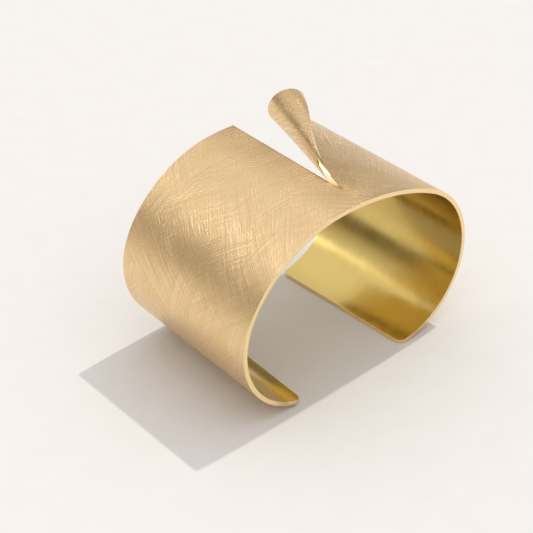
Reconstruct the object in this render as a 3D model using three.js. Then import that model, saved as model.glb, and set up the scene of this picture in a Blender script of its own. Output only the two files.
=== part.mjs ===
// Cuff bracelet bent from one sheet of brushed brass: an oval hoop, open below, with one
// slit cut in from the far rim and the corner beside the slit rolled up and outward.
// Millimetres, +Z up. The bracelet stands on its two end edges, X runs across the mouth
// from one end to the other, Y runs along the arm from the near rim to the far rim.
import * as THREE from 'three';

// ---- driving dimensions -------------------------------------------------------------
const SHEET = 1.0;            // thickness of the sheet
const BAND = 40.8;            // width of the band along the arm, at the top
const START_X = -16.23;       // left end of the section, outer face
const START_Z = 0.07;
const START_HEADING = 166.6;  // degrees, direction the section leaves the left end
// outer section from the left end, over the top, to the right end: tangent arcs
const SECTION = [
  { radius: 21.2, sweep: 59.1 },
  { radius: 19.8, sweep: 51.2 },
  { radius: 29.5, sweep: 52.8 },
  { radius: 52.6, sweep: 31.6 },
  { radius: 21.1, sweep: 73.5 },
  { radius: 19.3, sweep: 77.5 },
];
const LEFT_CLOSING = 1.84;    // how far the left end leans in at the far rim
const RIGHT_CLOSING = 3.5;    // the same for the right end
const RIGHT_TRIM = 1.8;       // sheet cut away at the far corner of the right end
const RIGHT_NARROWING = 3.8;  // the band is this much narrower at the right end
const SLIT_AT = 73.55;        // distance round the section from the left end to the slit
const SLIT_GAP = 0.5;         // width of the saw cut
const BRIDGE = 6.4;           // sheet left uncut between the slit and the near rim
const ROLL_BASE = 13.3;       // how far from the slit the roll starts, at the far rim
const ROLL_TIGHT = 0.8;       // roll radius at the blind end of the slit, outer face
const ROLL_WIDE = 3.4;        // roll radius at the far rim, outer face
const ROLL_FLARE = 0.78;      // how quickly the roll opens along the slit
const ROLL_LEAN = 0.009;      // the rolled corner pulls back towards the near rim
const CORNER_NEAR = 2.0;      // corner rounding at the near rim
const CORNER_FAR = 0.9;       // corner rounding at the far rim

const rad = (d) => (d * Math.PI) / 180;
const clamp01 = (t) => Math.min(1, Math.max(0, t));
const LENGTH = SECTION.reduce((sum, a) => sum + a.radius * rad(a.sweep), 0);
const SLIT_LEFT = SLIT_AT - SLIT_GAP / 2;
const SLIT_RIGHT = SLIT_AT + SLIT_GAP / 2;

// ---- the sheet's outer face ---------------------------------------------------------
function section(s) {
  let x = START_X, z = START_Z, heading = rad(START_HEADING), left = s;
  for (let i = 0; i < SECTION.length; i++) {
    const { radius, sweep } = SECTION[i];
    const arc = radius * rad(sweep);
    const turn = (i === SECTION.length - 1 ? left : Math.min(left, arc)) / radius;
    const cx = x + radius * Math.sin(heading), cz = z - radius * Math.cos(heading);
    heading -= turn;
    x = cx - radius * Math.sin(heading);
    z = cz + radius * Math.cos(heading);
    if (left <= arc) break;
    left -= arc;
  }
  return [x, z];
}

function plain(u, v) {
  const [x, z] = section(u);
  const along = v / BAND;
  const toLeft = clamp01((SLIT_AT - u) / SLIT_AT);
  const toRight = clamp01((u - SLIT_AT) / (LENGTH - SLIT_AT));
  const lean = LEFT_CLOSING * toLeft ** 1.5 - RIGHT_CLOSING * toRight ** 1.5;
  return new THREE.Vector3(x + along * lean, v - along * RIGHT_NARROWING * toRight, z);
}

function frameAt(fn, u, v, du, dv) {
  const e = 1e-3;
  const p = fn(u, v);
  const pu = fn(u + du * e, v).sub(p).multiplyScalar(du);
  const pv = fn(u, v + dv * e).sub(p).multiplyScalar(dv);
  return { p, pu, pv, n: pu.clone().cross(pv).normalize() };
}

// the corner beside the slit follows a widening roll that starts on a slanted line
// running from the blind end of the slit to the far rim
const ROLL_ANGLE = Math.atan2(ROLL_BASE, BAND - BRIDGE);
function sheet(u, v) {
  const across = u - SLIT_RIGHT, beyond = v - BRIDGE;
  const reach = Math.hypot(across, beyond), angle = Math.atan2(across, beyond);
  if (beyond <= 0 || across < -1e-6 || angle >= ROLL_ANGLE) return plain(u, v);
  const hu = SLIT_RIGHT + reach * Math.sin(ROLL_ANGLE);
  const hv = BRIDGE + reach * Math.cos(ROLL_ANGLE);
  const { p, pu, pv, n } = frameAt(plain, hu, hv, 1, 1);
  const t = pu.multiplyScalar(Math.sin(ROLL_ANGLE)).add(pv.multiplyScalar(Math.cos(ROLL_ANGLE))).normalize();
  const c = t.clone().cross(n);
  if (c.x > 0) c.negate();
  const radius = ROLL_TIGHT + (ROLL_WIDE - ROLL_TIGHT) * (reach / (BAND - BRIDGE)) ** ROLL_FLARE;
  const turn = (reach * (ROLL_ANGLE - angle)) / radius;
  return p
    .addScaledVector(c, radius * Math.sin(turn))
    .addScaledVector(n, radius * (1 - Math.cos(turn)))
    .addScaledVector(t, -reach * ROLL_LEAN * (1 - Math.cos(turn)));
}

// ---- a grid laid over the sheet -----------------------------------------------------
function steps(from, to, size) {
  const n = Math.max(1, Math.round((to - from) / size));
  return Array.from({ length: n + 1 }, (_, i) => from + ((to - from) * i) / n);
}
const join = (...lists) => lists.reduce((all, l) => [...all, ...l.slice(all.length ? 1 : 0)], []);
const columns = [
  ...join(steps(0, 4, 1.35), steps(4, SLIT_LEFT, 2.75)),
  ...join(steps(SLIT_RIGHT, SLIT_RIGHT + ROLL_BASE + 1.5, 1.15),
    steps(SLIT_RIGHT + ROLL_BASE + 1.5, LENGTH - 4, 2.75), steps(LENGTH - 4, LENGTH, 1.35)),
];
const slitColumn = columns.findIndex((u) => Math.abs(u - SLIT_LEFT) < 1e-9);
const round = (r, n) => Array.from({ length: n + 1 }, (_, i) => r * (1 - Math.cos((i * Math.PI) / (2 * n))));
const rows = join(round(CORNER_NEAR, 4), steps(CORNER_NEAR, BRIDGE, 2.2),
  steps(BRIDGE, BRIDGE + 4.5, 0.9), steps(BRIDGE + 4.5, BAND - CORNER_FAR, 1.75),
  round(CORNER_FAR, 3).map((d) => BAND - d).reverse());
const slitRow = rows.findIndex((v) => Math.abs(v - BRIDGE) < 1e-9);

// rounded corners and the slanting cut of the right end pull the last columns in
function inset(v) {
  const near = Math.max(0, CORNER_NEAR - v), far = Math.max(0, CORNER_FAR - (BAND - v));
  return CORNER_NEAR - Math.sqrt(CORNER_NEAR ** 2 - near ** 2)
    + CORNER_FAR - Math.sqrt(Math.max(0, CORNER_FAR ** 2 - far ** 2));
}
function place(u, v) {
  const zone = 8;
  if (u < zone) return u + inset(v) * (1 - u / zone);
  if (u > LENGTH - zone) return u - (inset(v) + (RIGHT_TRIM * v) / BAND) * (1 - (LENGTH - u) / zone);
  return u;
}

const points = [];
const outer = [], inner = [];
for (let i = 0; i < columns.length; i++) {
  outer.push([]); inner.push([]);
  for (let j = 0; j < rows.length; j++) {
    const u = place(columns[i], rows[j]), v = rows[j];
    const du = i === slitColumn || i === columns.length - 1 ? -1 : 1;
    const dv = j === 0 ? 1 : -1;
    const { p, n } = frameAt(sheet, u, v, du, dv);
    if (j === 0) n.setY(0).normalize();   // the near rim is cut flat
    outer[i].push(points.push(p) - 1);
    inner[i].push(points.push(p.clone().addScaledVector(n, -SHEET)) - 1);
  }
}

// ---- closed solid: outer face, inner face and a wall along every free edge ----------
const index = [];
const free = new Map();
function edge(a, b, a2, b2) {
  if (free.has(`${b},${a}`)) free.delete(`${b},${a}`);
  else free.set(`${a},${b}`, [a, b, a2, b2]);
}
for (let i = 0; i + 1 < columns.length; i++) {
  for (let j = 0; j + 1 < rows.length; j++) {
    if (i === slitColumn && j >= slitRow) continue;
    const o = [outer[i][j], outer[i + 1][j], outer[i + 1][j + 1], outer[i][j + 1]];
    const q = [inner[i][j], inner[i + 1][j], inner[i + 1][j + 1], inner[i][j + 1]];
    index.push(o[0], o[1], o[2], o[0], o[2], o[3]);
    index.push(q[0], q[2], q[1], q[0], q[3], q[2]);
    for (let k = 0; k < 4; k++) edge(o[k], o[(k + 1) % 4], q[k], q[(k + 1) % 4]);
  }
}
for (const [a, b, a2, b2] of free.values()) index.push(b, a, a2, b, a2, b2);

// stand the bracelet on the floor, centred over the origin
const box = new THREE.Box3().setFromPoints(points);
const shift = new THREE.Vector3(-(box.min.x + box.max.x) / 2, -(box.min.y + box.max.y) / 2, -box.min.z);
const geometry = new THREE.BufferGeometry();
geometry.setAttribute('position', new THREE.Float32BufferAttribute(points.flatMap((p) => p.add(shift).toArray()), 3));
geometry.setIndex(index);
geometry.computeVertexNormals();

const brass = new THREE.MeshStandardMaterial({ color: 0xd8b06a, metalness: 1.0, roughness: 0.38 });
brass.name = 'brushed_brass';
const band = new THREE.Mesh(geometry, brass);
band.name = 'cuff_band';

const bracelet = new THREE.Group();
bracelet.name = 'cuff_bracelet';
bracelet.add(band);
export default bracelet;
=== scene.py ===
import math

import bpy
import numpy as np
from mathutils import Matrix, Vector


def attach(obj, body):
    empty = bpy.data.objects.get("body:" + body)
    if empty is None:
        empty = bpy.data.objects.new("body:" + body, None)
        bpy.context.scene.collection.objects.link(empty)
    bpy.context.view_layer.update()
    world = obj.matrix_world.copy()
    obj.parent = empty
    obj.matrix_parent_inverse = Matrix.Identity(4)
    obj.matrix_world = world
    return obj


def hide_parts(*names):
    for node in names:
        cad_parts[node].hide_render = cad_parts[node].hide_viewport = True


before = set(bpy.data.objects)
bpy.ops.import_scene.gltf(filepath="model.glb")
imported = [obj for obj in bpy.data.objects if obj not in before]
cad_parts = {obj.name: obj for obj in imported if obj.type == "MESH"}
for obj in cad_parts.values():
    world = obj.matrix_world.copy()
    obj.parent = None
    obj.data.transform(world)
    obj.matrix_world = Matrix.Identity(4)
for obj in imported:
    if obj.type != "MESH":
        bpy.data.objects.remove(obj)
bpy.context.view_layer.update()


# ---- driving dimensions, millimetres (the same sheet as the CAD node) ----------------
SHEET = 1.0
BAND = 40.8
START = (-16.23, 0.07, 166.6)
SECTION = ((21.2, 59.1), (19.8, 51.2), (29.5, 52.8), (52.6, 31.6), (21.1, 73.5), (19.3, 77.5))
LEFT_CLOSING, RIGHT_CLOSING, RIGHT_TRIM, RIGHT_NARROWING = 1.84, 3.5, 1.8, 3.8
SLIT_AT, SLIT_GAP, BRIDGE = 73.55, 0.5, 6.4
ROLL_BASE, ROLL_TIGHT, ROLL_WIDE, ROLL_FLARE, ROLL_LEAN = 13.3, 0.8, 3.4, 0.78, 0.009
CORNER_NEAR, CORNER_FAR = 2.0, 0.9
LENGTH = sum(r * math.radians(s) for r, s in SECTION)
SLIT_LEFT, SLIT_RIGHT = SLIT_AT - SLIT_GAP / 2, SLIT_AT + SLIT_GAP / 2
ROLL_ANGLE = math.atan2(ROLL_BASE, BAND - BRIDGE)


# ---- the sheet's outer face ----------------------------------------------------------
def section(s):
    x, z, heading = START[0], START[1], math.radians(START[2])
    px, pz = np.zeros_like(s), np.zeros_like(s)
    done, begun = np.zeros(s.shape, bool), 0.0
    for i, (radius, sweep) in enumerate(SECTION):
        arc = radius * math.radians(sweep)
        here = ~done & ((s <= begun + arc) | (i == len(SECTION) - 1))
        h = heading - (s[here] - begun) / radius
        cx, cz = x + radius * math.sin(heading), z - radius * math.cos(heading)
        px[here], pz[here] = cx - radius * np.sin(h), cz + radius * np.cos(h)
        done |= here
        heading -= math.radians(sweep)
        x, z = cx - radius * math.sin(heading), cz + radius * math.cos(heading)
        begun += arc
    return px, pz


def plain(u, v):
    x, z = section(u)
    along = v / BAND
    to_left = np.clip((SLIT_AT - u) / SLIT_AT, 0, 1)
    to_right = np.clip((u - SLIT_AT) / (LENGTH - SLIT_AT), 0, 1)
    lean = LEFT_CLOSING * to_left ** 1.5 - RIGHT_CLOSING * to_right ** 1.5
    return np.stack([x + along * lean, v - along * RIGHT_NARROWING * to_right, z], -1)


def unit(a):
    return a / np.linalg.norm(a, axis=-1, keepdims=True)


def frame_at(fn, u, v, du, dv):
    e = 1e-3
    p = fn(u, v)
    pu = (fn(u + du * e, v) - p) * np.asarray(du)[..., None]
    pv = (fn(u, v + dv * e) - p) * np.asarray(dv)[..., None]
    return p, unit(pu), unit(pv), unit(np.cross(pu, pv)), pu / e, pv / e


def sheet(u, v):
    p = plain(u, v)
    across, beyond = u - SLIT_RIGHT, v - BRIDGE
    reach, angle = np.hypot(across, beyond), np.arctan2(across, beyond)
    m = (beyond > 0) & (across >= -1e-6) & (angle < ROLL_ANGLE)
    if not m.any():
        return p
    reach, angle = reach[m], angle[m]
    one = np.ones_like(reach)
    hu, hv = SLIT_RIGHT + reach * math.sin(ROLL_ANGLE), BRIDGE + reach * math.cos(ROLL_ANGLE)
    q, _, _, n, pu, pv = frame_at(plain, hu, hv, one, one)
    t = unit(pu * math.sin(ROLL_ANGLE) + pv * math.cos(ROLL_ANGLE))
    c = np.cross(t, n)
    c = np.where(c[..., :1] > 0, -c, c)
    radius = ROLL_TIGHT + (ROLL_WIDE - ROLL_TIGHT) * (reach / (BAND - BRIDGE)) ** ROLL_FLARE
    turn = reach * (ROLL_ANGLE - angle) / radius
    up = radius * (1 - np.cos(turn))
    p[m] = (q + c * (radius * np.sin(turn))[:, None] + n * up[:, None]
            - t * (reach * ROLL_LEAN * (1 - np.cos(turn)))[:, None])
    return p


# ---- a fine grid over the sheet -------------------------------------------------------
def steps(a, b, size):
    return np.linspace(a, b, max(1, round((b - a) / size)) + 1)


def joined(*lists):
    out = list(lists[0])
    for l in lists[1:]:
        out += list(l)[1:]
    return out


FINE = 0.45
left_columns = joined(steps(0, 4, 0.3), steps(4, SLIT_LEFT, FINE))
right_columns = joined(steps(SLIT_RIGHT, SLIT_RIGHT + 3, 0.2), steps(SLIT_RIGHT + 3, SLIT_RIGHT + 16, 0.3),
                       steps(SLIT_RIGHT + 16, LENGTH - 4, FINE), steps(LENGTH - 4, LENGTH, 0.3))
columns = np.array(left_columns + right_columns)
slit_column = len(left_columns) - 1


def rounding(r, n):
    return r * (1 - np.cos(np.arange(n + 1) * math.pi / (2 * n)))


rows = np.array(joined(rounding(CORNER_NEAR, 12), steps(CORNER_NEAR, BRIDGE, 0.5),
                       steps(BRIDGE, BRIDGE + 4, 0.2), steps(BRIDGE + 4, BAND - CORNER_FAR, 0.5),
                       (BAND - rounding(CORNER_FAR, 7))[::-1]))
slit_row = int(np.argmin(abs(rows - BRIDGE)))


def inset(v):
    near = np.maximum(0, CORNER_NEAR - v)
    far = np.maximum(0, CORNER_FAR - (BAND - v))
    return (CORNER_NEAR - np.sqrt(CORNER_NEAR ** 2 - near ** 2)
            + CORNER_FAR - np.sqrt(np.maximum(0, CORNER_FAR ** 2 - far ** 2)))


U, V = np.meshgrid(columns, rows, indexing="ij")
zone = 8.0
pull_left = inset(V) * np.clip(1 - U / zone, 0, 1)
pull_right = (inset(V) + RIGHT_TRIM * V / BAND) * np.clip(1 - (LENGTH - U) / zone, 0, 1)
PU = U + pull_left - pull_right
DU = np.ones_like(U); DU[slit_column] = -1; DU[-1] = -1
DV = -np.ones_like(V); DV[:, 0] = 1
outer, _, _, normal, _, _ = frame_at(sheet, PU, V, DU, DV)
normal[:, 0, 1] = 0
normal = unit(normal)
inner = outer - SHEET * normal

every = np.concatenate([outer.reshape(-1, 3), inner.reshape(-1, 3)])
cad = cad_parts["cuff_band"]
cad_co = np.empty(len(cad.data.vertices) * 3)
cad.data.vertices.foreach_get("co", cad_co)
cad_co = cad_co.reshape(-1, 3) @ np.array(cad.matrix_world.to_3x3()).T + np.array(cad.matrix_world.translation)
lo, hi = every.min(0), every.max(0)
shift = np.array([-(lo[0] + hi[0]) / 2, -(lo[1] + hi[1]) / 2, -lo[2]])
every = (every + shift) / 1000.0
cad_lo, cad_hi = cad_co.min(0), cad_co.max(0)
every = np.clip(every, cad_lo, cad_hi)       # never outside the CAD's own box

nI, nJ = len(columns), len(rows)
count = nI * nJ
ids = np.arange(count).reshape(nI, nJ)
faces, kinds = [], []
open_edges = {}


def edge(a, b):
    if (b, a) in open_edges:
        del open_edges[(b, a)]
    else:
        open_edges[(a, b)] = True


OUTSIDE, INSIDE, RIM = 0, 1, 2
for i in range(nI - 1):
    for j in range(nJ - 1):
        if i == slit_column and j >= slit_row:
            continue
        a, b, c, d = int(ids[i, j]), int(ids[i + 1, j]), int(ids[i + 1, j + 1]), int(ids[i, j + 1])
        faces.append((a, b, c, d)); kinds.append(OUTSIDE)
        faces.append((a + count, d + count, c + count, b + count)); kinds.append(INSIDE)
        edge(a, b); edge(b, c); edge(c, d); edge(d, a)
for a, b in open_edges:
    faces.append((b, a, a + count, b + count)); kinds.append(RIM)

mesh = bpy.data.meshes.new("cuff_sheet")
mesh.from_pydata([tuple(p) for p in every], [], faces)
band = bpy.data.objects.new("cuff_sheet", mesh)
bpy.context.scene.collection.objects.link(band)
mesh.polygons.foreach_set("material_index", kinds)
mesh.polygons.foreach_set("use_smooth", [True] * len(faces))

# the sheet's own flat pattern, in centimetres, carries the direction of the brushing
flat = np.stack([np.concatenate([PU.ravel()] * 2), np.concatenate([V.ravel()] * 2)], -1) / 10.0
layer = mesh.uv_layers.new(name="sheet")
loops = np.empty(len(mesh.loops), dtype=np.int32)
mesh.loops.foreach_get("vertex_index", loops)
layer.data.foreach_set("uv", flat[loops].astype(np.float32).ravel())

# how far each point is from the nearest free edge, for the worn bright border
near_edge = np.minimum(V, BAND - V)
near_edge = np.minimum(near_edge, np.minimum(PU - PU.min(0, keepdims=True), PU.max(0, keepdims=True) - PU))
by_slit = np.where(V >= BRIDGE, np.minimum(abs(PU - SLIT_LEFT), abs(PU - SLIT_RIGHT)),
                   np.hypot(PU - SLIT_AT, V - BRIDGE))
near_edge = np.minimum(near_edge, by_slit)
attribute = mesh.attributes.new("edge_mm", "FLOAT", "POINT")
attribute.data.foreach_set("value", np.concatenate([near_edge.ravel()] * 2).astype(np.float32))

bevel = band.modifiers.new("eased edge", "BEVEL")
bevel.width = 0.00014
bevel.segments = 2
bevel.limit_method = "ANGLE"
bevel.angle_limit = math.radians(50)
bevel.material = RIM
bevel.harden_normals = False
bpy.context.view_layer.objects.active = band
band.select_set(True)
bpy.ops.object.modifier_apply(modifier=bevel.name)
band.select_set(False)


# ---- materials -----------------------------------------------------------------------
def material(name):
    m = bpy.data.materials.new(name)
    m.use_nodes = True
    nodes, links = m.node_tree.nodes, m.node_tree.links
    return m, nodes, links, nodes["Principled BSDF"]


def add(nodes, kind, **values):
    n = nodes.new(kind)
    for k, x in values.items():
        setattr(n, k, x)
    return n


def scratches(nodes, links, uv, angle, along, across, detail=3.0, offset=0.0):
    """Fine lines running at an angle over the flat pattern."""
    turn = add(nodes, "ShaderNodeMapping", vector_type="POINT")
    turn.inputs["Rotation"].default_value = (0, 0, math.radians(angle))
    turn.inputs["Location"].default_value = (offset, offset * 0.7, 0)
    stretch = add(nodes, "ShaderNodeMapping", vector_type="POINT")
    stretch.inputs["Scale"].default_value = (along, across, 1)
    noise = add(nodes, "ShaderNodeTexNoise", noise_dimensions="2D")
    noise.inputs["Scale"].default_value = 1.0
    noise.inputs["Detail"].default_value = detail
    noise.inputs["Roughness"].default_value = 0.6
    links.new(uv, turn.inputs["Vector"])
    links.new(turn.outputs["Vector"], stretch.inputs["Vector"])
    links.new(stretch.outputs["Vector"], noise.inputs["Vector"])
    return noise.outputs["Fac"]


def math_node(nodes, links, op, a, b):
    n = add(nodes, "ShaderNodeMath", operation=op)
    for i, x in enumerate((a, b)):
        if isinstance(x, (int, float)):
            n.inputs[i].default_value = x
        else:
            links.new(x, n.inputs[i])
    return n.outputs[0]


def ramp(nodes, links, fac, stops):
    r = add(nodes, "ShaderNodeValToRGB")
    els = r.color_ramp.elements
    while len(els) < len(stops):
        els.new(0.5)
    for el, (pos, col) in zip(els, stops):
        el.position = pos
        el.color = (*col, 1.0) if len(col) == 3 else col
    links.new(fac, r.inputs["Fac"])
    return r.outputs["Color"]


def grey(x):
    return (x, x, x)


def brushed(name):
    m, nodes, links, bsdf = material(name)
    uv = add(nodes, "ShaderNodeUVMap", uv_map="sheet").outputs["UV"]
    # long straight strokes in crossing directions
    sets = [scratches(nodes, links, uv, a, 0.3, w, 2.5, o)
            for a, w, o in ((-56, 48, 1.0), (-44, 54, 7.0), (44, 48, 13.0), (10, 54, 19.0))]
    # patches where one direction of brushing wins over the others
    shares = []
    for k in range(2):
        patch = add(nodes, "ShaderNodeTexNoise", noise_dimensions="2D")
        patch.inputs["Scale"].default_value = 0.9
        patch.inputs["Detail"].default_value = 1.5
        move = add(nodes, "ShaderNodeMapping", vector_type="POINT")
        move.inputs["Location"].default_value = (k * 11.3, k * 5.1, 0)
        links.new(uv, move.inputs["Vector"])
        links.new(move.outputs["Vector"], patch.inputs["Vector"])
        shares.append(ramp(nodes, links, patch.outputs["Fac"], [(0.36, grey(0.25)), (0.64, grey(0.75))]))
    pairs = []
    for k in range(2):
        blend = add(nodes, "ShaderNodeMix", data_type="FLOAT")
        links.new(shares[k], blend.inputs["Factor"])
        links.new(sets[k], blend.inputs["A"])
        links.new(sets[k + 2], blend.inputs["B"])
        pairs.append(blend.outputs["Result"])
    lines = math_node(nodes, links, "MULTIPLY", math_node(nodes, links, "ADD", pairs[0], pairs[1]), 0.5)
    # a few deeper single strokes
    deep = scratches(nodes, links, uv, 42, 0.22, 13, 1.5, 21.0)
    deep2 = scratches(nodes, links, uv, -52, 0.22, 13, 1.5, 33.0)
    strokes = ramp(nodes, links, math_node(nodes, links, "MAXIMUM", deep, deep2), [(0.64, grey(0)), (0.72, grey(1))])
    height = math_node(nodes, links, "SUBTRACT", lines, math_node(nodes, links, "MULTIPLY", strokes, 0.06))
    bump = add(nodes, "ShaderNodeBump")
    bump.inputs["Strength"].default_value = 0.6
    bump.inputs["Distance"].default_value = 0.00022
    links.new(height, bump.inputs["Height"])
    links.new(bump.outputs["Normal"], bsdf.inputs["Normal"])
    # the worn border turns smoother and brighter
    worn = add(nodes, "ShaderNodeAttribute", attribute_name="edge_mm")
    border = ramp(nodes, links, worn.outputs["Fac"], [(0.0, grey(1)), (0.7, grey(0))])
    rough = ramp(nodes, links, lines, [(0.40, grey(0.42)), (0.60, grey(0.20))])
    rough2 = add(nodes, "ShaderNodeMix", data_type="FLOAT")
    links.new(border, rough2.inputs["Factor"])
    links.new(rough, rough2.inputs["A"])
    rough2.inputs["B"].default_value = 0.24
    links.new(rough2.outputs["Result"], bsdf.inputs["Roughness"])
    tone = ramp(nodes, links, lines, [(0.38, (0.76, 0.535, 0.26)), (0.5, (0.84, 0.605, 0.325)), (0.62, (0.93, 0.71, 0.43))])
    links.new(tone, bsdf.inputs["Base Color"])
    bsdf.inputs["Metallic"].default_value = 1.0
    return m


def polished(name, base, low, high, bump_strength):
    m, nodes, links, bsdf = material(name)
    uv = add(nodes, "ShaderNodeUVMap", uv_map="sheet").outputs["UV"]
    fine = scratches(nodes, links, uv, 3, 1.2, 30, 2, 3.0)
    cloud = add(nodes, "ShaderNodeTexNoise", noise_dimensions="2D")
    cloud.inputs["Scale"].default_value = 1.6
    cloud.inputs["Detail"].default_value = 2.0
    links.new(uv, cloud.inputs["Vector"])
    mixed = math_node(nodes, links, "ADD", math_node(nodes, links, "MULTIPLY", fine, 0.5),
                      math_node(nodes, links, "MULTIPLY", cloud.outputs["Fac"], 0.5))
    rough = ramp(nodes, links, mixed, [(0.38, grey(low)), (0.62, grey(high))])
    links.new(rough, bsdf.inputs["Roughness"])
    tone = ramp(nodes, links, mixed, [(0.36, tuple(c * 0.95 for c in base)), (0.64, base)])
    links.new(tone, bsdf.inputs["Base Color"])
    bump = add(nodes, "ShaderNodeBump")
    bump.inputs["Strength"].default_value = bump_strength
    bump.inputs["Distance"].default_value = 0.0001
    links.new(mixed, bump.inputs["Height"])
    links.new(bump.outputs["Normal"], bsdf.inputs["Normal"])
    bsdf.inputs["Metallic"].default_value = 1.0
    return m


mesh.materials.append(brushed("brass_crosshatch"))
# the inside takes a darker base colour than the outside brass: painted shade for the inside of the hollow band
mesh.materials.append(polished("brass_polished_inside", (0.70, 0.525, 0.175), 0.16, 0.25, 0.05))
# the rim takes a lighter base colour than the outside brass: a painted highlight on the polished thin edges, on top
# of their real low roughness
mesh.materials.append(polished("brass_rim", (0.97, 0.75, 0.40), 0.16, 0.26, 0.15))
# the brushing was done before the corner was rolled, so the rolled corner's back is
# brushed too: its faces near the slit on the inner side take the satin finish
inside_satin = []
co = np.empty(len(mesh.vertices) * 3); mesh.vertices.foreach_get("co", co); co = co.reshape(-1, 3)
uvs = np.empty(len(mesh.loops) * 2, np.float32)
mesh.uv_layers["sheet"].data.foreach_get("uv", uvs)
uvs = uvs.reshape(-1, 2) * 10.0
for poly in mesh.polygons:
    if poly.material_index != INSIDE:
        continue
    centre = uvs[poly.loop_start:poly.loop_start + poly.loop_total].mean(0)
    across, beyond = centre[0] - SLIT_RIGHT, centre[1] - BRIDGE
    if across > -0.1 and beyond > 9.0 and math.atan2(across, beyond) < ROLL_ANGLE * 0.8:
        poly.material_index = OUTSIDE

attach(band, "root")
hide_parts("cuff_band")

# ---- floor, light, camera ------------------------------------------------------------
bpy.ops.mesh.primitive_plane_add(size=6.0, location=(0, 0, 0))
floor = bpy.context.object
floor.name = "floor"
fm, fn, fl, fb = material("pale_floor")
soft = add(fn, "ShaderNodeTexNoise")
soft.inputs["Scale"].default_value = 900.0
soft.inputs["Detail"].default_value = 2.0
fl.new(ramp(fn, fl, soft.outputs["Fac"], [(0.3, (0.825, 0.812, 0.787)), (0.7, (0.84, 0.827, 0.802))]), fb.inputs["Base Color"])
fb.inputs["Roughness"].default_value = 0.95
fb.inputs["Specular IOR Level"].default_value = 0.0
floor.data.materials.append(fm)

world = bpy.data.worlds.new("studio")
bpy.context.scene.world = world
world.use_nodes = True
wn, wl = world.node_tree.nodes, world.node_tree.links
back = wn["Background"]
back.inputs["Strength"].default_value = 1.03
way = add(wn, "ShaderNodeTexCoord")
split = add(wn, "ShaderNodeSeparateXYZ")
wl.new(way.outputs["Generated"], split.inputs["Vector"])
# bright overhead, a dim warm wall above the horizon, pale at the horizon
wl.new(ramp(wn, wl, split.outputs["Z"], [(0.0, (0.95, 0.94, 0.95)), (0.06, (0.75, 0.73, 0.72)), (0.16, (0.22, 0.185, 0.13)),
                                       (0.34, (0.24, 0.20, 0.145)), (0.50, (0.62, 0.585, 0.55)), (0.64, (0.84, 0.83, 0.84)),
                                       (1.0, (1.20, 1.18, 1.22))]), back.inputs["Color"])


def sun(name, direction, strength, angle, colour):
    data = bpy.data.lights.new(name, "SUN")
    data.energy, data.angle, data.color = strength, math.radians(angle), colour
    o = bpy.data.objects.new(name, data)
    o.rotation_mode = "QUATERNION"
    o.rotation_quaternion = Vector(direction).to_track_quat("-Z", "Y")
    bpy.context.scene.collection.objects.link(o)
    return o


sun("key", (-math.cos(math.radians(60.5)), -0.04, -math.sin(math.radians(60.5))), 1.02, 1.2, (1.0, 0.975, 0.93))
glint = sun("glint", (0.435, -0.607, -0.664), 0.10, 1.6, (1.0, 0.98, 0.95))
glint.visible_diffuse = False

camera_data = bpy.data.cameras.new("camera")
camera = bpy.data.objects.new("camera", camera_data)
bpy.context.scene.collection.objects.link(camera)
bpy.context.scene.camera = camera
camera_data.sensor_fit = "AUTO"
camera_data.sensor_width = 36.0
camera_data.lens = 36.0 * 1700.1 / 533.0
camera_data.clip_start, camera_data.clip_end = 0.01, 20.0
azimuth, elevation = math.radians(-41.58), math.radians(35.69)
back_axis = Vector((math.sin(azimuth) * math.cos(elevation), -math.cos(azimuth) * math.cos(elevation), math.sin(elevation)))
right_axis = Vector((math.cos(azimuth), math.sin(azimuth), 0))
up_axis = back_axis.cross(right_axis)
turn = Matrix((right_axis, up_axis, back_axis)).transposed()
camera.rotation_mode = "QUATERNION"
camera.rotation_quaternion = turn.to_quaternion()
camera.location = (Vector((-206.78, -203.46, 236.18)) + Vector(shift)) / 1000.0

bpy.context.scene.view_settings.view_transform = "Standard"
bpy.context.scene.view_settings.look = "None"
